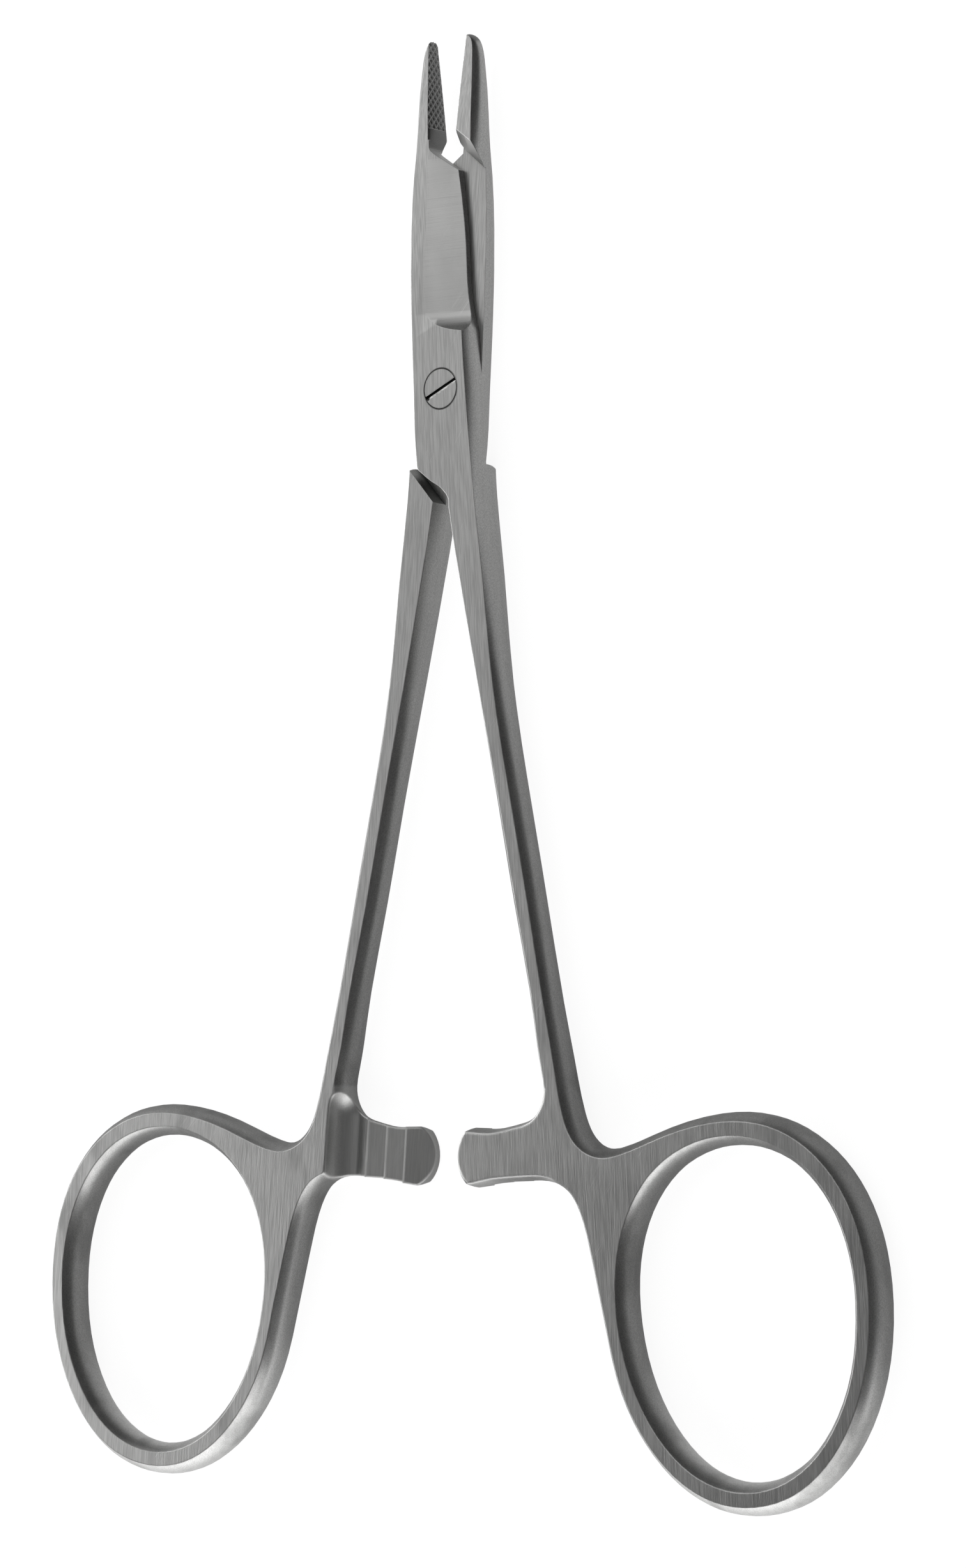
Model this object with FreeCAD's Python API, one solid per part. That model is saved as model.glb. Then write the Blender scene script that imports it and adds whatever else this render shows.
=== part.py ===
import FreeCAD, Part
import math
import os
from FreeCAD import Vector

# Surgical needle holder with scissor blades behind the jaws, lying flat on its
# back faces with the tips toward +Y, opened as it would lie on a tray. Two forged
# and ground steel arms are lapped half into each other and turn on one slotted
# screw. Each arm is drawn closed round the screw's axis, with its own jaw on the
# left, its finger ring on the right and the lap plane at z = 0. The back arm is
# the same forging turned over.

# Stance: opening of the arms, and how far the screw lies from the middle of the length
opening_deg = 7.23
screw_y = 34.87

# Half thickness of the closed instrument along its length
ring_half = 1.95
joint_half = 1.95
shoulder_half = 1.85
shank_half = 1.56
blade_half = 1.75
jaw_root_half = 1.55
jaw_tip_half = 0.68

# Lap joint
lap_gap = 0.04
joint_shift = 0.15
jaw_side_half = 3.45
jaw_side_bulge = 0.42
free_side_half = 3.67
free_side_bulge = 0.7
split_y = -11.0
block_end_y = -7.5
shoulder_x = 2.87
shoulder_y = -8.07
shoulder_slope_deg = 45.0

# Scissor blades
blade_root_y = 7.5
blade_tip_y = 20.75
blade_half_width = 2.95
blade_tip_half_width = 2.5
blade_edge_thick = 0.72
hollow_left = 1.15
hollow_radius = 2.6
hollow_sag = 0.09
hollow_lean_deg = 1.7
hollow_fall_deg = 0.85

# Jaws
jaw_root_y = 23.2
jaw_tip_y = 33.75
jaw_root_width = 2.36
jaw_bulge = 0.75
bite_shift = 0.4
bite_gap = 0.03
bite_strip = 0.28
bite_strip_fall = 0.12
underside_gap = 0.35
underside_slope_deg = 48.0
underside_fall_deg = 35.0
groove_pitch = 0.8
groove_depth = 0.14
groove_deg = 42.0
serration_end_y = 25.2

# Shank, as y, inner side, outer side and how far each side draws in to the ground face
shank_plan = [
    (-6.0, -0.3, 3.55, 0.1, 0.3),
    (split_y, 0.15, 3.6, 0.1, 0.32),
    (-15.0, 0.55, 3.95, 0.15, 0.4),
    (-20.0, 1.1, 4.35, 0.3, 0.5),
    (-28.0, 2.0, 5.0, 0.6, 0.75),
    (-40.0, 3.65, 6.6, 0.85, 0.85),
    (-50.0, 5.1, 8.05, 0.85, 0.85),
    (-59.0, 6.55, 9.3, 0.8, 0.8),
    (-64.5, 7.3, 10.2, 0.75, 0.8),
]

# Ratchet
ratchet_top_y = -69.7
ratchet_foot_y = -74.85
ratchet_reach = 2.1
ratchet_tip_radius = 3.4
ratchet_tip_thick = 0.75
tooth_count = 3
tooth_pitch = 2.3
first_tooth_x = 0.75
tooth_depth = 0.5
tooth_gap = 0.03
pocket_x = 8.7
pocket_radius = 2.2
pocket_end_y = -69.0
pocket_top_y = -66.3

# Finger ring
ring_x = 28.35
ring_y = -87.55
ring_semi_x = 13.6
ring_semi_y = 16.5
ring_power = 2.1
ring_egg = 0.064
ring_tilt_deg = 3.1
ring_width = 3.0
ring_bulge = 0.9

# Pivot screw
head_radius = 1.89
head_depth = 0.8
head_gap = 0.05
shaft_radius = 1.2
running_gap = 0.04
thread_gap = 0.02
slot_width = 0.3
slot_depth = 0.4
slot_deg = 25.4

far = 60.0


def spline(points, closed=False, spots=None):
    """A smooth curve through the points, passing them at the given parameters if there are any."""
    curve = Part.BSplineCurve()
    if spots:
        curve.interpolate(Points=points, PeriodicFlag=closed, Parameters=spots)
    else:
        curve.interpolate(Points=points, PeriodicFlag=closed)
    return curve


def plate(runs, low, high):
    """A straight-sided solid; each run of plan points is a line or, from three points on, a curve."""
    edges = []
    for i, run in enumerate(runs):
        points = [Vector(x, y, low) for x, y in run]
        if len(points) > 2:
            edges.append(spline(points).toShape())
        elif len(points) == 2:
            edges.append(Part.makeLine(points[0], points[1]))
        x, y = runs[(i + 1) % len(runs)][0]
        if (points[-1] - Vector(x, y, low)).Length > 1e-6:
            edges.append(Part.makeLine(points[-1], Vector(x, y, low)))
    return Part.Face(Part.Wire(edges)).extrude(Vector(0, 0, high - low))


def block(x0, x1, y0, y1, z0, z1):
    return Part.makeBox(x1 - x0, y1 - y0, z1 - z0, Vector(x0, y0, z0))


# The side view: half the thickness along the instrument.
side_stations = [
    (ring_y - 1.5 * ring_semi_y, ring_half),
    (ring_y, ring_half),
    (ratchet_foot_y, ring_half),
    (shank_plan[8][0], 0.45 * ring_half + 0.55 * shank_half),
    (shank_plan[6][0], shank_half),
    (shank_plan[4][0], 0.4 * shoulder_half + 0.6 * shank_half),
    (split_y, shoulder_half),
    (0.0, joint_half),
    (0.5 * (blade_root_y + blade_tip_y), 0.5 * (joint_half + blade_half)),
    (0.3 * blade_root_y + 0.7 * blade_tip_y, blade_half),
    (jaw_root_y, jaw_root_half),
    (0.5 * (jaw_root_y + jaw_tip_y), 0.58 * jaw_root_half + 0.42 * jaw_tip_half),
    (jaw_tip_y, jaw_tip_half),
    (jaw_tip_y + 1.5, 0.8 * jaw_tip_half),
]
side_curve = spline([Vector(0, y, h) for y, h in side_stations])


def half_thickness(y):
    inside = min(max(y, side_stations[0][0]), side_stations[-1][0])
    return side_curve.value(side_curve.parameter(Vector(0, inside, shank_half))).z


def ground_body():
    """All there is between the two ground faces."""
    upper = [Vector(-far, y, h) for y, h in side_stations]
    lower = [Vector(-far, y, -h) for y, h in reversed(side_stations)]
    edges = [
        spline(upper).toShape(),
        Part.makeLine(upper[-1], lower[0]),
        spline(lower).toShape(),
        Part.makeLine(lower[-1], upper[0]),
    ]
    between = Part.Face(Part.Wire(edges)).extrude(Vector(2 * far, 0, 0))
    return between.common(block(-far, far, -2.0 * far, far, -joint_half, joint_half))


# A forged blank is a loft through its outline at several levels, so that its sides
# bulge between the ground faces. Outlines run counterclockwise as (x, y, bulge);
# the bulge is how far the side draws in from the middle plane to the ground face.
# The levels are shares of the half thickness, closer where the side turns faster.
blank_levels = [-1.2, -1.05, -0.88, -0.62, -0.33, 0.0, 0.33, 0.62, 0.88, 1.05, 1.2]
blank_over = 0.35
blank_faces = 6
round_out = 1.15


def draw_in(level):
    """Part of the bulge used up at a level: an ellipse's flank, cut off before its top."""
    flank = [1.0 - math.sqrt(1.0 - (t / round_out) ** 2) for t in (min(abs(level), 1.0), 1.0)]
    return flank[0] / flank[1] + max(abs(level) - 1.0, 0.0)


def level_wire(points, level, closed):
    """The outline at one level, cut into a few edges at the same points on every level."""
    plan = [Vector(x, y, 0) for x, y, bulge in points]
    spots = [0.0]
    for start, end in zip(plan, plan[1:] + plan[:1] * closed):
        spots.append(spots[-1] + (end - start).Length)
    middle = spline(plan, closed, spots)
    drawn = []
    for i, (x, y, bulge) in enumerate(points):
        along = middle.tangent(spots[i])[0]
        inward = Vector(-along.y, along.x, 0)
        if not closed and i in (0, len(points) - 1):
            inward = Vector(math.copysign(1.0, inward.x), 0, 0)
        z = level * half_thickness(y)
        if level in (blank_levels[0], blank_levels[-1]):
            z = math.copysign(joint_half + blank_over, level)
        drawn.append(Vector(x, y, z) + inward * bulge * draw_in(level))
    curve = spline(drawn, closed, spots)
    ends = [spots[i * (len(spots) - 1) // blank_faces] for i in range(blank_faces + 1)]
    edges = [curve.toShape(start, end) for start, end in zip(ends, ends[1:])]
    if not closed:
        edges.append(Part.makeLine(drawn[-1], drawn[0]))
    return Part.Wire(edges)


def blank(points, closed=False):
    return Part.makeLoft([level_wire(points, level, closed) for level in blank_levels], True, True)


def ring_point(offset, deg):
    """A point of the finger ring's rounded egg shape, offset from the middle of its section."""
    a = ring_semi_x + offset
    b = ring_semi_y + offset
    c = math.cos(math.radians(deg))
    s = math.sin(math.radians(deg))
    x = a * math.copysign(abs(c) ** (2.0 / ring_power), c)
    y = b * math.copysign(abs(s) ** (2.0 / ring_power), s)
    x = x * (1.0 + ring_egg * y / b)
    tilt = math.radians(ring_tilt_deg)
    return (ring_x + x * math.cos(tilt) - y * math.sin(tilt), ring_y + x * math.sin(tilt) + y * math.cos(tilt))


def handle_blank():
    """Shank, ratchet arm and finger ring."""
    top = ratchet_top_y
    foot = ratchet_foot_y
    reach = -ratchet_reach
    middle = 0.5 * (top + foot)
    points = [(inner, y, bulge) for y, inner, outer, bulge, outer_bulge in shank_plan]
    points += [
        (7.45, top + 2.5, 0.7),
        (6.5, top + 1.0, 0.6),
        (4.4, top + 0.3, 0.5),
        (1.5, top, 0.5),
        (reach - 0.6, top - 0.1, 0.4),
        (reach - 1.6, top - 1.2, 0.3),
        (reach - 1.9, middle, 0.3),
        (reach - 1.6, foot + 1.2, 0.3),
        (reach - 0.6, foot + 0.1, 0.4),
        (1.5, foot, 0.5),
        (5.0, foot + 0.1, 0.5),
        (8.0, foot - 0.15, 0.6),
        (10.0, foot - 1.25, 0.7),
        (11.2, foot - 3.35, 0.8),
        (12.0, foot - 6.65, ring_bulge),
    ]
    points += [ring_point(0.5 * ring_width, deg) + (ring_bulge,) for deg in range(180, 451, 18)]
    points += [
        (20.2, -70.9, ring_bulge),
        (16.4, -72.0, ring_bulge),
        (13.9, -72.1, ring_bulge),
        (12.1, -71.0, ring_bulge),
        (11.0, -68.6, ring_bulge),
    ]
    points += [(outer, y, bulge) for y, inner, outer, inner_bulge, bulge in reversed(shank_plan)]
    hole = [ring_point(-0.5 * ring_width, deg) + (-ring_bulge,) for deg in range(0, 360, 20)]
    return blank(points).cut(blank(hole, True))


def ratchet_tip_cutter():
    """All that lies beyond the rounded end of the ratchet arm."""
    x = ratchet_tip_radius - ratchet_reach
    y = 0.5 * (ratchet_top_y + ratchet_foot_y)
    round_end = Part.makeCylinder(ratchet_tip_radius, 2 * far, Vector(x, y, -far))
    return block(-far, x, y - ratchet_tip_radius, y + ratchet_tip_radius, -far, far).cut(round_end)


def ratchet_cutters():
    """
    One cutter takes the arm down to half its thickness and leaves the ridges, steep toward
    the arm's own shank. The other is the mill beside them, which leaves a rounded corner
    and lifts out of the shank's face on its own radius.
    """
    crest = 0.5 * tooth_gap
    valley = crest + tooth_depth
    run = [(-far, -far), (-far, joint_half - ratchet_tip_thick), (-ratchet_reach, joint_half - ratchet_tip_thick)]
    for i in range(tooth_count):
        x = first_tooth_x + i * tooth_pitch
        run += [(x, crest), (x + 0.25 * tooth_depth, valley)]
    run += [(pocket_x - pocket_radius, valley), (pocket_x - pocket_radius, -far)]
    points = [Vector(x, pocket_end_y, z) for x, z in run]
    teeth = Part.Face(Part.makePolygon(points + points[:1])).extrude(Vector(0, -far, 0))

    depth = valley + joint_half
    lift = pocket_top_y - pocket_end_y
    mill_radius = (lift ** 2 + depth ** 2) / (2.0 * depth)
    axis_z = valley - mill_radius
    lean = math.radians(45.0)
    left = Vector(first_tooth_x + (tooth_count - 1) * tooth_pitch + 0.25 * tooth_depth, pocket_end_y, valley)
    floor_end = Vector(pocket_x - pocket_radius, pocket_end_y, valley)
    bend = floor_end + Vector(pocket_radius * math.sin(lean), 0, pocket_radius * (math.cos(lean) - 1.0))
    wall = floor_end + Vector(pocket_radius, 0, -pocket_radius)
    wall_end = Vector(pocket_x, pocket_end_y, axis_z)
    left_end = Vector(left.x, pocket_end_y, axis_z)
    section = Part.Face(Part.Wire([
        Part.makeLine(left_end, left),
        Part.makeLine(left, floor_end),
        Part.Arc(floor_end, bend, wall).toShape(),
        Part.makeLine(wall, wall_end),
        Part.makeLine(wall_end, left_end),
    ]))
    mill = section.extrude(Vector(0, -far, 0))
    lift_out = section.revolve(Vector(0, pocket_end_y, axis_z), Vector(1, 0, 0), -90.0)
    return [teeth, mill, lift_out]


# Plan of the jaw side, tip to joint block, measured from the joint's middle: y, distance
# to the jaw side at the middle plane, and how far that side draws in. The jaw's own
# stations are shares of its length, its root width and the bulge beside it.
jaw_shares = [
    (0.967, 0.305, 0.4),
    (0.905, 0.483, 0.66),
    (0.739, 0.665, 0.9),
    (0.507, 0.814, 1.0),
    (0.265, 0.915, 1.0),
    (0.0, 1.0, 0.85),
]
side_shares = [
    (1.0, 0.754, 1.2),
    (0.82, 0.849, 1.05),
    (0.554, 0.919, 1.0),
    (0.241, 0.974, 1.0),
    (0.0, 1.0, 1.0),
]
jaw_side_plan = [
    (jaw_root_y + along * (jaw_tip_y - jaw_root_y), out * jaw_root_width, bulge * jaw_bulge)
    for along, out, bulge in jaw_shares
]
jaw_side_plan += [
    (along * blade_tip_y, out * jaw_side_half, bulge * jaw_side_bulge)
    for along, out, bulge in side_shares
]
jaw_side_plan += [
    (0.67 * block_end_y, 1.03 * jaw_side_half, jaw_side_bulge),
    (0.907 * block_end_y, jaw_side_half, 0.9 * jaw_side_bulge),
    (block_end_y, 0.928 * jaw_side_half, 0.7 * jaw_side_bulge),
    (1.047 * block_end_y, 0.783 * jaw_side_half, 0.5 * jaw_side_bulge),
]
# The upper edge of a blade, falling from the bite face to the blade's tip
blade_top_plan = [(-0.45, 23.85), (0.2, 22.56), (0.95, 21.97), (1.82, 21.27), (blade_tip_half_width, blade_tip_y)]


def upper_blank(shift):
    """Joint block, blade and jaw as one; the blade's side is left wide, to be ground to shape."""
    points = [
        (shank_plan[1][2], split_y, shank_plan[1][4]),
        (free_side_half - 0.05 + 0.5 * shift, shoulder_y, 0.4),
        (free_side_half + shift, -3.5, 0.6),
        (free_side_half + shift, 0.0, free_side_bulge),
        (free_side_half - 0.1 + shift, 3.0, free_side_bulge),
        (free_side_half - 0.1 + shift, 7.0, free_side_bulge),
        (free_side_half + shift, blade_tip_y - 6.0, free_side_bulge),
        (free_side_half - 0.3 + shift, blade_tip_y, 0.5),
        (2.6 + shift, jaw_tip_y - 6.0, 0.4),
        (1.3 + shift, jaw_tip_y - 1.0, 0.2),
        (0.3 + shift, jaw_tip_y + 0.1, 0.2),
        (-0.25 + shift, jaw_tip_y, 0.2),
    ]
    points += [(shift - x, y, bulge) for y, x, bulge in jaw_side_plan]
    points += [
        (shift - 1.6, block_end_y - 1.25, 0.18),
        (shift - 0.5, block_end_y - 1.97, 0.15),
        (shift - 0.08, block_end_y - 2.4, 0.12),
        (0.12, block_end_y - 2.9, 0.1),
        (shank_plan[1][1], split_y, shank_plan[1][3]),
    ]
    return blank(points)


def hollow_cutter(shift):
    """The grinding wheel's path: along the blade, then out of the face round a radius."""
    start = shift - hollow_left
    width = blade_half_width + hollow_left
    fall = math.atan2(half_thickness(blade_root_y) - blade_edge_thick, width)
    slope = width / math.cos(fall)
    over = hollow_left
    left = Vector(-over, 0, 0)
    middle = Vector(0.5 * slope, 0, -hollow_sag)
    right = Vector(slope + over, 0, 0)
    rise = Vector(0, 0, hollow_radius)
    edges = [
        Part.Arc(left, middle, right).toShape(),
        Part.makeLine(right, right + rise),
        Part.makeLine(right + rise, left + rise),
        Part.makeLine(left + rise, left),
    ]
    section = Part.Face(Part.Wire(edges))
    along = section.extrude(Vector(0, jaw_tip_y - blade_root_y, 0))
    run_out = section.revolve(rise, Vector(1, 0, 0), -90.0)
    cutter = along.fuse(run_out)
    cutter.rotate(Vector(0, 0, 0), Vector(0, 1, 0), math.degrees(fall))
    cutter.rotate(Vector(0, 0, 0), Vector(1, 0, 0), -hollow_fall_deg)
    cutter.rotate(Vector(0, 0, 0), Vector(0, 0, 1), -hollow_lean_deg)
    cutter.translate(Vector(start, blade_root_y, half_thickness(blade_root_y)))
    return cutter


def grind_blade(body, shift, bite):
    """The blade's edge and upper end, the bite face above it, and the hollow in its face."""
    top = [(x + shift, y) for x, y in blade_top_plan]
    edge = [
        top[-1],
        (0.5 * (blade_tip_half_width + blade_half_width) + shift, blade_tip_y - 2.6),
        (blade_half_width - 0.02 + shift, blade_root_y + 6.0),
        (blade_half_width + 0.02 + shift, blade_root_y + 1.2),
        (free_side_half - 0.5 + shift, blade_root_y - 0.6),
        (free_side_half + 0.1 + shift, blade_root_y - 3.1),
    ]
    beside = plate([top, edge, [(far, edge[-1][1])], [(far, top[0][1])]], -far, far)
    above = block(bite, far, blade_tip_y, far, -far, far).cut(
        plate([[(-far, blade_tip_y - 1.0)], [(top[-1][0], blade_tip_y - 1.0)], top[::-1], [(-far, top[0][1])]], -far, far))
    return body.cut(beside.common(block(bite, far, -far, far, -far, far))).cut(above).cut(hollow_cutter(shift))


def lap_cutter(shift):
    """Frees the other arm's half of the joint, up to the slanting underside of this arm's jaw."""
    under = [(shift - x, y + underside_gap) for x, y in blade_top_plan]
    room = plate([under, [(-far, blade_tip_y + underside_gap)], [(-far, -far), (far, -far)], [(far, under[0][1])]], -far, 0.5 * lap_gap)
    facet = block(-far, far, -far, 0.0, -far, far)
    facet.rotate(Vector(0, 0, 0), Vector(1, 0, 0), underside_slope_deg)
    facet.rotate(Vector(0, 0, 0), Vector(0, 0, 1), underside_fall_deg)
    middle = under[2]
    facet.translate(Vector(middle[0], middle[1], -0.3))
    near = block(-far, far, blade_tip_y - 3.0, jaw_root_y + 1.5, -far, 0.0)
    return room.fuse(facet.common(near))


def serration(bite):
    """Crossing grooves over the bite face, from the tip to the plain root of the jaw."""
    crossing = []
    lean = math.radians(groove_deg)
    half = 0.46 * groove_pitch * math.sin(lean)
    limit = block(bite - 1.0, bite + 1.0, serration_end_y, far, -far, far)
    reach = jaw_root_half / math.tan(lean)
    count = int((jaw_tip_y - serration_end_y + 2.0 * reach) / groove_pitch)
    points = [Vector(-groove_depth, -far, 0), Vector(groove_depth, -far, 2.0 * half), Vector(groove_depth, -far, -2.0 * half)]
    for turn in (-groove_deg, groove_deg):
        cutters = []
        for i in range(count):
            cutter = Part.Face(Part.makePolygon(points + points[:1])).extrude(Vector(0, 2 * far, 0))
            cutter.rotate(Vector(0, 0, 0), Vector(1, 0, 0), turn)
            cutter.translate(Vector(bite, serration_end_y - reach + (i + 0.5) * groove_pitch, 0))
            cutters.append(cutter.common(limit))
        crossing.append(cutters)
    return crossing


def bite_strips(bite):
    """Narrow bevels along both long edges of the bite face."""
    strips = []
    for side in (-1.0, 1.0):
        wires = []
        for i in range(6):
            y = jaw_root_y + 0.8 + i * (jaw_tip_y + 0.6 - jaw_root_y) / 5.0
            h = half_thickness(y)
            corner = Vector(bite, y, side * h)
            points = [
                corner - Vector(0, 0, side * bite_strip),
                corner - Vector(bite_strip_fall, 0, 0),
                corner + Vector(-bite_strip_fall, 0, side),
                corner + Vector(1.0, 0, side),
                corner + Vector(1.0, 0, -side * bite_strip),
            ]
            wires.append(Part.makePolygon(points + points[:1]))
        strips.append(Part.makeLoft(wires, True, True))
    return strips


def arm(shift, bite):
    slope = math.tan(math.radians(shoulder_slope_deg))
    shoulder = [(far, shoulder_y + (far - shoulder_x) * slope), (-far, shoulder_y - (far + shoulder_x) * slope)]
    room = plate([shoulder, [(-far, far)], [(far, far)]], -far, 0.5 * lap_gap)
    handle = handle_blank().common(ground_body())
    handle = handle.cut(block(-far, far, split_y, far, 0.5 * lap_gap, far)).cut(room)
    handle = handle.cut(ratchet_tip_cutter()).cut(ratchet_cutters())
    upper = upper_blank(shift).common(ground_body())
    upper = grind_blade(upper, shift, bite).cut(lap_cutter(shift)).cut(bite_strips(bite))
    for grooves in serration(bite):
        upper = upper.cut(grooves)
    return handle.fuse(upper).removeSplitter()


def cylinder(radius, low, high):
    return Part.makeCylinder(radius, high - low, Vector(0, 0, low))


front_arm = arm(-joint_shift, -bite_shift - 0.5 * bite_gap)
front_arm = front_arm.cut(cylinder(shaft_radius + running_gap, -joint_half, joint_half))
front_arm = front_arm.cut(cylinder(head_radius + head_gap, joint_half - head_depth - lap_gap, far))

back_arm = arm(joint_shift, bite_shift - 0.5 * bite_gap)
back_arm = back_arm.cut(cylinder(shaft_radius + thread_gap, -far, far))
back_arm.rotate(Vector(0, 0, 0), Vector(0, 1, 0), 180.0)

screw = cylinder(head_radius, joint_half - head_depth, joint_half)
screw = screw.fuse(cylinder(shaft_radius, -joint_half + lap_gap, joint_half))
slot = block(-far, far, -0.5 * slot_width, 0.5 * slot_width, joint_half - slot_depth, far)
slot.rotate(Vector(0, 0, 0), Vector(0, 0, 1), slot_deg)
screw = screw.cut(slot)

os.makedirs("parts", exist_ok=True)
for name, shape, turn in (
    ("front_arm", front_arm, 0.5 * opening_deg),
    ("back_arm", back_arm, -0.5 * opening_deg),
    ("pivot_screw", screw, 0.0),
):
    shape.rotate(Vector(0, 0, 0), Vector(0, 0, 1), turn)
    shape.translate(Vector(0, screw_y, joint_half))
    shape.exportStep("parts/" + name + ".step")
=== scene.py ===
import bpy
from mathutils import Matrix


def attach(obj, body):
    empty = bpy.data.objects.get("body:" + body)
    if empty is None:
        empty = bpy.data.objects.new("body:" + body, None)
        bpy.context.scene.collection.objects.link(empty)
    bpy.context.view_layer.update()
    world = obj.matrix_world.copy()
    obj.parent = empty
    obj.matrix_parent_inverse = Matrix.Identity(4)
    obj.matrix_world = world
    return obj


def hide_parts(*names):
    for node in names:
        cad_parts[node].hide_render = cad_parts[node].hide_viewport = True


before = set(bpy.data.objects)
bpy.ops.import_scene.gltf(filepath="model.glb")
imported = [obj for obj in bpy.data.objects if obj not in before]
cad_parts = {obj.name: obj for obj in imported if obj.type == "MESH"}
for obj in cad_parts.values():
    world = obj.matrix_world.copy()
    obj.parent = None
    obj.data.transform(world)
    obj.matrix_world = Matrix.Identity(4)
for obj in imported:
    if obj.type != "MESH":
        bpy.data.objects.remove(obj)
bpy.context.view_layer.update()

import math

import bmesh
import bpy
from mathutils import Matrix, Vector

scene = bpy.context.scene
scene.view_settings.view_transform = "Standard"

# Floor. The instrument lies on a plain board, painted a matt light grey. The board shows
# white to the camera and dimmer in the steel, and it keeps a faint shadow.
floor_level = -0.0001
floor_size = 3.0
board_grey = 0.45
level_to_camera = 0.9
level_to_steel = 1.6
# How much of its light the board gives at each place along the instrument, ring end first.
board_reach = 0.1
board_shares = (
    (-0.1, 1.0),
    (-0.075, 0.6),
    (-0.055, 0.12),
    (-0.03, 0.09),
    (0.0, 0.15),
    (0.03, 0.24),
    (0.1, 0.28),
)

floor_mesh = bmesh.new()
bmesh.ops.create_grid(floor_mesh, x_segments=1, y_segments=1, size=0.5 * floor_size)
bmesh.ops.translate(floor_mesh, verts=floor_mesh.verts, vec=(0, 0, floor_level))
floor_data = bpy.data.meshes.new("floor")
floor_mesh.to_mesh(floor_data)
floor_mesh.free()
floor = bpy.data.objects.new("floor", floor_data)
scene.collection.objects.link(floor)

board = bpy.data.materials.new("pale_board")
board.use_nodes = True
board_nodes = board.node_tree.nodes
board_nodes.clear()
board_out = board_nodes.new("ShaderNodeOutputMaterial")
board_sum = board_nodes.new("ShaderNodeAddShader")
board_paint = board_nodes.new("ShaderNodeBsdfDiffuse")
board_paint.inputs["Color"].default_value = (board_grey, board_grey, board_grey, 1)
board_glow = board_nodes.new("ShaderNodeEmission")
board_rays = board_nodes.new("ShaderNodeLightPath")
board_place = board_nodes.new("ShaderNodeTexCoord")
board_along = board_nodes.new("ShaderNodeSeparateXYZ")
board_span = board_nodes.new("ShaderNodeMapRange")
board_span.inputs["From Min"].default_value = -board_reach
board_span.inputs["From Max"].default_value = board_reach
board_fall = board_nodes.new("ShaderNodeValToRGB")
stops = board_fall.color_ramp.elements
for y, share in board_shares[1:-1]:
    stops.new((y + board_reach) / (2 * board_reach))
for stop, (y, share) in zip(stops, board_shares):
    stop.color = (share, share, share, 1)
board_shine = board_nodes.new("ShaderNodeMath")
board_shine.operation = "MULTIPLY"
board_shine.inputs[1].default_value = level_to_steel
board_white = board_nodes.new("ShaderNodeMath")
board_white.operation = "MULTIPLY"
board_white.inputs[1].default_value = level_to_camera
board_level = board_nodes.new("ShaderNodeMath")
board_level.operation = "MULTIPLY_ADD"
for output, socket in (
    (board_place.outputs["Object"], board_along.inputs[0]),
    (board_along.outputs["Y"], board_span.inputs["Value"]),
    (board_span.outputs["Result"], board_fall.inputs["Fac"]),
    (board_fall.outputs[0], board_shine.inputs[0]),
    (board_rays.outputs["Is Camera Ray"], board_white.inputs[0]),
    (board_rays.outputs["Is Glossy Ray"], board_level.inputs[0]),
    (board_shine.outputs[0], board_level.inputs[1]),
    (board_white.outputs[0], board_level.inputs[2]),
    (board_level.outputs[0], board_glow.inputs["Strength"]),
    (board_paint.outputs[0], board_sum.inputs[0]),
    (board_glow.outputs[0], board_sum.inputs[1]),
    (board_sum.outputs[0], board_out.inputs["Surface"]),
):
    board.node_tree.links.new(output, socket)
floor_data.materials.append(board)

# Studio light. Two soft panels hang overhead on the left, and low ones stand beyond the
# tips, beyond the rings and on the left. The room round the camera stays dim, so that what
# faces it shows dark.
room_level = 0.05
room_to_camera = 0.95

world = bpy.data.worlds.new("studio")
scene.world = world
world.use_nodes = True
room = world.node_tree.nodes["Background"]
room_rays = world.node_tree.nodes.new("ShaderNodeLightPath")
room_range = world.node_tree.nodes.new("ShaderNodeMapRange")
room_range.inputs["To Min"].default_value = room_level
room_range.inputs["To Max"].default_value = room_to_camera
room.inputs["Color"].default_value = (1, 1, 1, 1)
world.node_tree.links.new(room_rays.outputs["Is Camera Ray"], room_range.inputs["Value"])
world.node_tree.links.new(room_range.outputs["Result"], room.inputs["Strength"])


def soft_panel(name, place, aim, width, height, level):
    """A lamp panel that shows at that level, where 1 is white, to what it faces."""
    data = bpy.data.lights.new(name, "AREA")
    data.shape = "RECTANGLE"
    data.size = width
    data.size_y = height
    data.energy = level * math.pi * width * height
    lamp = bpy.data.objects.new(name, data)
    scene.collection.objects.link(lamp)
    back = (Vector(place) - Vector(aim)).normalized()
    across = Vector((0, 1, 0)).cross(back).normalized()
    turn = Matrix((across, back.cross(across), back)).transposed()
    lamp.matrix_world = Matrix.Translation(place) @ turn.to_4x4()


soft_panel("wide_panel", (-0.45, 0.58, 1.0), (-0.45, 0.58, 0), 1.4, 0.8, 0.82)
soft_panel("side_panel", (-1.27, -0.15, 1.0), (-1.27, -0.15, 0), 0.55, 0.6, 2.2)
soft_panel("far_panel", (-0.75, 1.15, 0.65), (0, 0, 0), 0.9, 0.5, 0.9)
soft_panel("near_panel", (-0.05, -1.0, 0.26), (0, 0, 0.03), 2.0, 0.5, 1.9)
soft_panel("left_panel", (-1.2, 0.2, 0.22), (0, 0, 0), 0.4, 1.3, 3.0)

# Camera. A long lens at arm's length looks down on the instrument from the right, and a
# little from the ring end.
camera_place = Vector((0.28284, -0.02823, 0.36800))
camera_turn = math.radians(37.34)
camera_rise = math.radians(-3.18)
camera_roll = math.radians(0.33)

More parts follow.
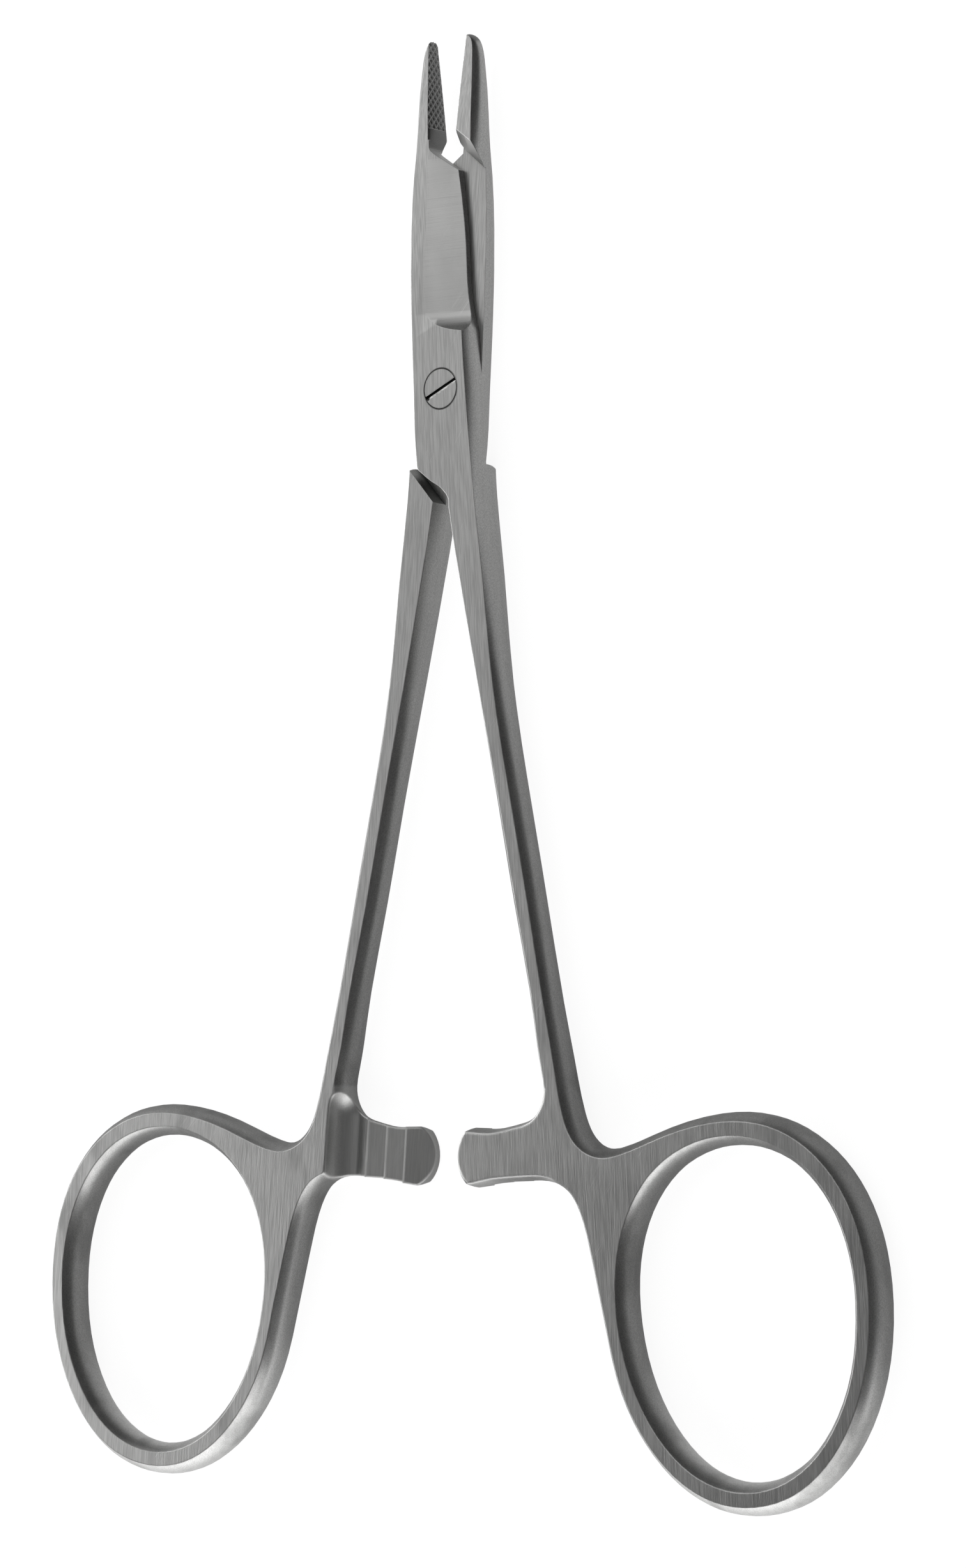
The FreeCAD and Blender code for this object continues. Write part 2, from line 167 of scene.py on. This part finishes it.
camera_back = Vector((
    math.sin(camera_turn) * math.cos(camera_rise),
    math.sin(camera_rise),
    math.cos(camera_turn) * math.cos(camera_rise),
))
level_right = Vector((math.cos(camera_turn), 0, -math.sin(camera_turn)))
level_up = camera_back.cross(level_right)
camera_right = math.cos(camera_roll) * level_right + math.sin(camera_roll) * level_up
camera_up = math.cos(camera_roll) * level_up - math.sin(camera_roll) * level_right
camera_data = bpy.data.cameras.new("camera")
camera_data.sensor_fit = "HORIZONTAL"
camera_data.sensor_width = 36.0
camera_data.lens = 183.58
camera_data.shift_x = 0.00216
camera_data.shift_y = 0.00224
camera_data.clip_start = 0.01
camera = bpy.data.objects.new("camera", camera_data)
scene.collection.objects.link(camera)
camera_axes = Matrix((camera_right, camera_up, camera_back)).transposed()
camera.matrix_world = Matrix.Translation(camera_place) @ camera_axes.to_4x4()
scene.camera = camera

# Arms. Two stainless steel forgings, ground flat on both faces and brushed along their
# length; the sides keep the finer, matt skin of the tumbling drum. Each shown arm is the
# packed arm with its corners joined and its sides smoothed.
screw_place = (0.0, 0.03487, 0.00195)
arm_turn = math.radians(3.615)
joined_reach = 1e-7
sharp_angle = math.radians(24.0)

steel_dark = (0.47, 0.47, 0.465, 1)
steel_light = (0.62, 0.62, 0.612, 1)
# Near white for rubbed steel and for painted highlights.
steel_wear_and_highlight = (0.9, 0.9, 0.89, 1)
# Near black for painted shade.
steel_painted_shade = (0.03, 0.03, 0.029, 1)
# Dark grey for stains, and for painted shade on the bite.
steel_stain_and_shade = (0.13, 0.13, 0.128, 1)

# Grain sizes in metres: across the arm, along it, and into it.
brushed_grain = (0.00009, 0.003, 0.00009)
streak_grain = (0.0005, 0.016, 0.0005)
hollow_grain = (0.006, 0.00007, 0.006)
skin_grain = (0.00007, 0.00014, 0.00007)
cloud_grain = (0.004, 0.008, 0.004)
scratch_grain = (0.00004, 0.005, 0.005)
patch_grain = (0.003, 0.003, 0.003)
scratch_turn = math.radians(-38.0)

# Where each finish, painted highlight or painted shade fades in or out, in metres from the
# screw: first none, then all of it.
blade_start = (0.0055, 0.0065)
blade_end = (0.0225, 0.0215)
jaw_heel_highlight_start = (0.018, 0.0185)
jaw_heel_highlight_end = (0.0265, 0.026)
bite_shade_start = (0.0225, 0.0235)
bite_shade_reach = (0.0009, 0.0006)
handle_start = (-0.011, -0.02)
stain_start = (-0.03, -0.06)
ratchet_start = (-0.066, -0.0665)
ratchet_end = (-0.078, -0.077)
ratchet_reach = (0.0091, 0.0088)
front_face = (0.0018, 0.0019)

# The same for how squarely a face looks along an axis, where 1 is squarely.
side_facing = (0.85, 0.55)
hollow_facing = (0.12, 0.22)
heel_highlight_facing = (-0.25, -0.45)
milled_facing = (0.05, 0.2)

# Radii to which handling has rounded the edges, and how bright they are painted, as rubbed
# wear and as painted highlight.
edge_radius, handle_edge_radius, ratchet_edge_radius = 0.00009, 0.00016, 0.0004
edge_rub_and_highlight, handle_rub_and_highlight, ratchet_rub_and_highlight = 0.7, 0.35, 1.0
rubbed_and_highlit_turn = (0.99, 0.93)

# Painted shade darkens the inner corners and the joint round the screw's head.
corner_shade_reach = 0.0024
corner_shade_closed = (0.84, 0.5)
head_radius, joint_shade_radius, joint_shade_soft = 0.00184, 0.00202, 0.00004

satin_roughness = (0.3, 0.36)
side_roughness = 0.04
milled_roughness = 0.46
grain_depth = 0.00003


def smooth_copy(node, name):
    """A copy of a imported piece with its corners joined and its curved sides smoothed."""
    mesh = bmesh.new()
    mesh.from_mesh(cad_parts[node].data)
    bmesh.ops.remove_doubles(mesh, verts=mesh.verts, dist=joined_reach)
    for face in mesh.faces:
        face.smooth = True
    for edge in mesh.edges:
        edge.smooth = len(edge.link_faces) == 2 and edge.calc_face_angle() < sharp_angle
    data = bpy.data.meshes.new(name)
    mesh.to_mesh(data)
    mesh.free()
    piece = bpy.data.objects.new(name, data)
    scene.collection.objects.link(piece)
    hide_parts(node)
    return piece


class Finish:
    """A steel material under way, with short ways to add the nodes that it is made of."""

    def __init__(self, name):
        self.material = bpy.data.materials.new(name)
        self.material.use_nodes = True
        self.nodes = self.material.node_tree.nodes
        self.links = self.material.node_tree.links
        self.shader = self.nodes["Principled BSDF"]
        self.shader.inputs["Metallic"].default_value = 1.0
        self.coords = self.nodes.new("ShaderNodeTexCoord")

    def feed(self, value, socket):
        """A socket takes another node's output or a plain number."""
        if isinstance(value, bpy.types.NodeSocket):
            self.links.new(value, socket)
        else:
            socket.default_value = value

    def own_place(self, turn):
        """Places as the arm's maker counts them: from the screw, along the arm."""
        frame_of_arm = self.nodes.new("ShaderNodeMapping")
        frame_of_arm.vector_type = "TEXTURE"
        frame_of_arm.inputs["Location"].default_value = screw_place
        frame_of_arm.inputs["Rotation"].default_value = (0, 0, turn)
        self.links.new(self.coords.outputs["Object"], frame_of_arm.inputs["Vector"])
        return frame_of_arm.outputs["Vector"]

    def noise(self, place, grain, detail):
        """Noise whose spots are as wide, long and deep as the grain says."""
        stretch = self.nodes.new("ShaderNodeMapping")
        stretch.vector_type = "TEXTURE"
        stretch.inputs["Scale"].default_value = grain
        self.links.new(place, stretch.inputs["Vector"])
        texture = self.nodes.new("ShaderNodeTexNoise")
        texture.inputs["Scale"].default_value = 1.0
        texture.inputs["Detail"].default_value = detail
        self.links.new(stretch.outputs["Vector"], texture.inputs["Vector"])
        return texture.outputs["Fac"]

    def ranged(self, value, limits, results=(0.0, 1.0)):
        """Goes softly from the first result to the second between the two limits."""
        node = self.nodes.new("ShaderNodeMapRange")
        node.interpolation_type = "SMOOTHSTEP"
        self.feed(value, node.inputs["Value"])
        node.inputs["From Min"].default_value, node.inputs["From Max"].default_value = limits
        node.inputs["To Min"].default_value, node.inputs["To Max"].default_value = results
        return node.outputs["Result"]

    def maths(self, operation, first, second=0.0):
        node = self.nodes.new("ShaderNodeMath")
        node.operation = operation
        self.feed(first, node.inputs[0])
        self.feed(second, node.inputs[1])
        return node.outputs["Value"]

    def product(self, first, *others):
        for other in others:
            first = self.maths("MULTIPLY", first, other)
        return first

    def outside(self, mask):
        return self.maths("SUBTRACT", 1.0, mask)

    def blend(self, mask, first, second):
        """The first value where the mask is 0, the second where it is 1."""
        node = self.nodes.new("ShaderNodeMix")
        self.feed(mask, node.inputs["Factor"])
        self.feed(first, node.inputs["A"])
        self.feed(second, node.inputs["B"])
        return node.outputs["Result"]

    def blend_colour(self, mask, first, second):
        node = self.nodes.new("ShaderNodeMix")
        node.data_type = "RGBA"
        self.feed(mask, node.inputs["Factor"])
        self.feed(first, node.inputs["A"])
        self.feed(second, node.inputs["B"])
        return node.outputs["Result"]

    def parts(self, vector):
        node = self.nodes.new("ShaderNodeSeparateXYZ")
        self.links.new(vector, node.inputs["Vector"])
        return node.outputs["X"], node.outputs["Y"], node.outputs["Z"]

    def spot(self, place, centre, radius, soft):
        """1 within the radius of a point of the plan, 0 outside."""
        flat = self.nodes.new("ShaderNodeVectorMath")
        flat.operation = "MULTIPLY"
        flat.inputs[1].default_value = (1, 1, 0)
        away = self.nodes.new("ShaderNodeVectorMath")
        away.operation = "DISTANCE"
        away.inputs[1].default_value = (*centre, 0)
        self.links.new(place, flat.inputs[0])
        self.links.new(flat.outputs["Vector"], away.inputs[0])
        return self.ranged(away.outputs["Value"], (radius + soft, radius - soft))

    def worn_and_highlit_edges(self, radius):
        """1 along the sharp edges, rubbed bright by handling and painted with highlights, and
        the rounded normal.
        """
        rounded = self.nodes.new("ShaderNodeBevel")
        rounded.samples = 6
        self.feed(radius, rounded.inputs["Radius"])
        geometry = self.nodes.new("ShaderNodeNewGeometry")
        along = self.nodes.new("ShaderNodeVectorMath")
        along.operation = "DOT_PRODUCT"
        self.links.new(rounded.outputs["Normal"], along.inputs[0])
        self.links.new(geometry.outputs["Normal"], along.inputs[1])
        return self.ranged(along.outputs["Value"], rubbed_and_highlit_turn), rounded.outputs["Normal"]

    def corner_shade(self):
        """1 deep in the piece's own inner corners, where shade is painted."""
        corner = self.nodes.new("ShaderNodeAmbientOcclusion")
        corner.only_local = True
        corner.samples = 4
        corner.inputs["Distance"].default_value = corner_shade_reach
        return self.ranged(corner.outputs["AO"], corner_shade_closed)

    def bump(self, height, normal):
        node = self.nodes.new("ShaderNodeBump")
        node.inputs["Strength"].default_value = 0.5
        node.inputs["Distance"].default_value = grain_depth
        self.feed(height, node.inputs["Height"])
        self.links.new(normal, node.inputs["Normal"])
        return node.outputs["Normal"]


def arm_steel(name, turn):
    """Satin steel: brushed faces, cross-ground hollows, matt sides, rubbed edges with painted
    highlights, and painted light and shade.
    """
    steel = Finish(name)
    place = steel.own_place(turn)
    x, y, z = steel.parts(place)
    from_middle = steel.maths("ABSOLUTE", x)
    facing_x, facing_y, facing_z = steel.parts(steel.coords.outputs["Normal"])
    facing_across = steel.maths("ABSOLUTE", facing_x)

    # The places that have a finish of their own, and those that take painted light or shade.
    side = steel.ranged(steel.maths("ABSOLUTE", facing_z), side_facing)
    in_blade = steel.product(steel.ranged(y, blade_start), steel.ranged(y, blade_end))
    hollow = steel.product(
        steel.ranged(facing_across, hollow_facing), in_blade, steel.outside(side))
    handle = steel.ranged(y, handle_start)
    ratchet = steel.product(
        steel.ranged(y, ratchet_end), steel.ranged(y, ratchet_start),
        steel.ranged(from_middle, ratchet_reach))
    # Painted light: the milled ratchet steel is painted lighter, lifting the shade of the
    # pocket; its roughness is its own.
    milled_and_painted_light = steel.product(ratchet, steel.ranged(facing_across, milled_facing))
    handled = steel.product(handle, steel.outside(ratchet))
    # Painted highlight: the facet under the jaw's heel that faces the ring end is painted
    # near white, where a lamp would light it.
    jaw_heel_highlight = steel.product(
        steel.ranged(y, jaw_heel_highlight_start), steel.ranged(y, jaw_heel_highlight_end),
        steel.ranged(facing_y, heel_highlight_facing))
    # Painted shade: the bite faces between the jaws are painted dark.
    bite_shade = steel.product(
        steel.ranged(from_middle, bite_shade_reach), steel.ranged(y, bite_shade_start), side)

    # The grain: brushed along the faces, ground across the hollows, matt on the sides.
    brushed = steel.noise(place, brushed_grain, 3.0)
    streaks = steel.noise(place, streak_grain, 2.0)
    crossing = steel.noise(place, hollow_grain, 2.0)
    skin = steel.noise(place, skin_grain, 2.0)
    cloud = steel.noise(place, cloud_grain, 3.0)
    grain = steel.blend(side, steel.blend(hollow, brushed, crossing), skin)
    tone = steel.blend(steel.blend(hollow, 0.2, 0.0), grain, streaks)
    tone = steel.blend(steel.product(hollow, 0.55), tone, 0.5)
    tone = steel.maths("ADD", tone, steel.product(hollow, 0.12))
    colour = steel.blend_colour(steel.ranged(tone, (0.38, 0.62)), steel_dark, steel_light)

    # Stains towards the rings; a painted highlight on the heel of the jaw, painted shade on
    # the bite, and painted light on the milled steel.
    stained = steel.product(
        steel.ranged(cloud, (0.5, 0.7)), steel.ranged(y, stain_start), 0.3)
    for mask, tint in (
        (stained, steel_stain_and_shade),
        (jaw_heel_highlight, steel_wear_and_highlight),
        (steel.product(bite_shade, 0.8), steel_stain_and_shade),
        (steel.product(milled_and_painted_light, 0.45), steel_wear_and_highlight),
    ):
        colour = steel.blend_colour(mask, colour, tint)

    # Wear and painted highlights: edges rubbed bright and painted with highlights, and a few
    # slanting scratches on the faces.
    edges, rounded = steel.worn_and_highlit_edges(steel.blend(
        ratchet, steel.blend(handled, edge_radius, handle_edge_radius), ratchet_edge_radius))
    rub_and_highlight = steel.blend(ratchet, steel.blend(handled, edge_rub_and_highlight, handle_rub_and_highlight), ratchet_rub_and_highlight)
    slanting = steel.own_place(turn + scratch_turn)
    scratches = steel.product(
        steel.ranged(steel.noise(slanting, scratch_grain, 0.0), (0.72, 0.76)),
        steel.ranged(steel.noise(slanting, patch_grain, 1.0), (0.6, 0.66), (0.0, 0.4)),
        steel.outside(side))
    wear_and_highlight = steel.maths("MAXIMUM", steel.product(edges, rub_and_highlight), scratches)
    colour = steel.blend_colour(wear_and_highlight, colour, steel_wear_and_highlight)

    # Painted shade: in the inner corners, but not on the ratchet, and round the screw's head.
    painted_corner_shade = steel.product(steel.corner_shade(), 0.9, steel.outside(ratchet))
    colour = steel.blend_colour(painted_corner_shade, colour, steel_painted_shade)
    # Painted shade: a dark ring round the screw's head, wider than the gap, stands for the
    # shade in the gap between head and arm.
    joint_shade = steel.maths(
        "SUBTRACT",
        steel.spot(place, (0, 0), joint_shade_radius, joint_shade_soft),
        steel.spot(place, (0, 0), head_radius, joint_shade_soft))
    joint_shade = steel.product(joint_shade, steel.ranged(z, front_face), 0.8)
    colour = steel.blend_colour(joint_shade, colour, steel_painted_shade)
    steel.feed(colour, steel.shader.inputs["Base Color"])

    satin = steel.ranged(cloud, (0.3, 0.7), satin_roughness)
    satin = steel.maths("ADD", satin, steel.product(side, side_roughness))
    steel.feed(steel.blend(milled_and_painted_light, satin, milled_roughness), steel.shader.inputs["Roughness"])
    height = steel.product(
        steel.blend(side, 0.5, 0.35), steel.blend(hollow, 1.0, 0.5), grain)
    steel.feed(steel.bump(height, rounded), steel.shader.inputs["Normal"])
    return steel


front_arm = smooth_copy("front_arm", "front_arm_shown")
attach(front_arm, "front")
front_arm.data.materials.append(arm_steel("front_arm_steel", arm_turn).material)

back_arm = smooth_copy("back_arm", "back_arm_shown")
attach(back_arm, "back")
back_arm.data.materials.append(arm_steel("back_arm_steel", -arm_turn).material)

# Pivot screw. A turned steel screw with a flat slotted head, set flush in the front arm
# and ground over with it. A burr along the slot is painted as a bright highlight, and the
# punch mark that locks its end is painted as a dark spot of shade.
slot_turn = math.radians(25.4)
burr_highlight_outer = (-0.00034, -0.00028)
burr_highlight_inner = (-0.00012, -0.00016)
burr_highlight_grain = (0.0003, 0.0001, 0.0003)
burr_shine = (0.95, 0.95, 0.94, 1)
punch_shade_place = (-0.00172, -0.00012)
punch_shade_radius, punch_shade_soft = 0.00022, 0.00004

screw = smooth_copy("pivot_screw", "pivot_screw_shown")
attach(screw, "back")
screw_steel = arm_steel("screw_steel", 0.0)
slot_place = screw_steel.own_place(slot_turn)
across_slot = screw_steel.parts(slot_place)[1]
# Painted highlight: the burr along the slot is painted near white.
burr_highlight = screw_steel.product(
    screw_steel.ranged(across_slot, burr_highlight_outer),
    screw_steel.ranged(across_slot, burr_highlight_inner),
    screw_steel.ranged(screw_steel.noise(slot_place, burr_highlight_grain, 3.0), (0.42, 0.56)))
# Painted shade: the punch mark is a dark spot standing for the shade in its dimple.
punch_shade = screw_steel.spot(slot_place, punch_shade_place, punch_shade_radius, punch_shade_soft)
head_colour = screw_steel.shader.inputs["Base Color"]
colour = screw_steel.blend_colour(burr_highlight, head_colour.links[0].from_socket, burr_shine)
screw_steel.feed(screw_steel.blend_colour(punch_shade, colour, steel_painted_shade), head_colour)
screw.data.materials.append(screw_steel.material)
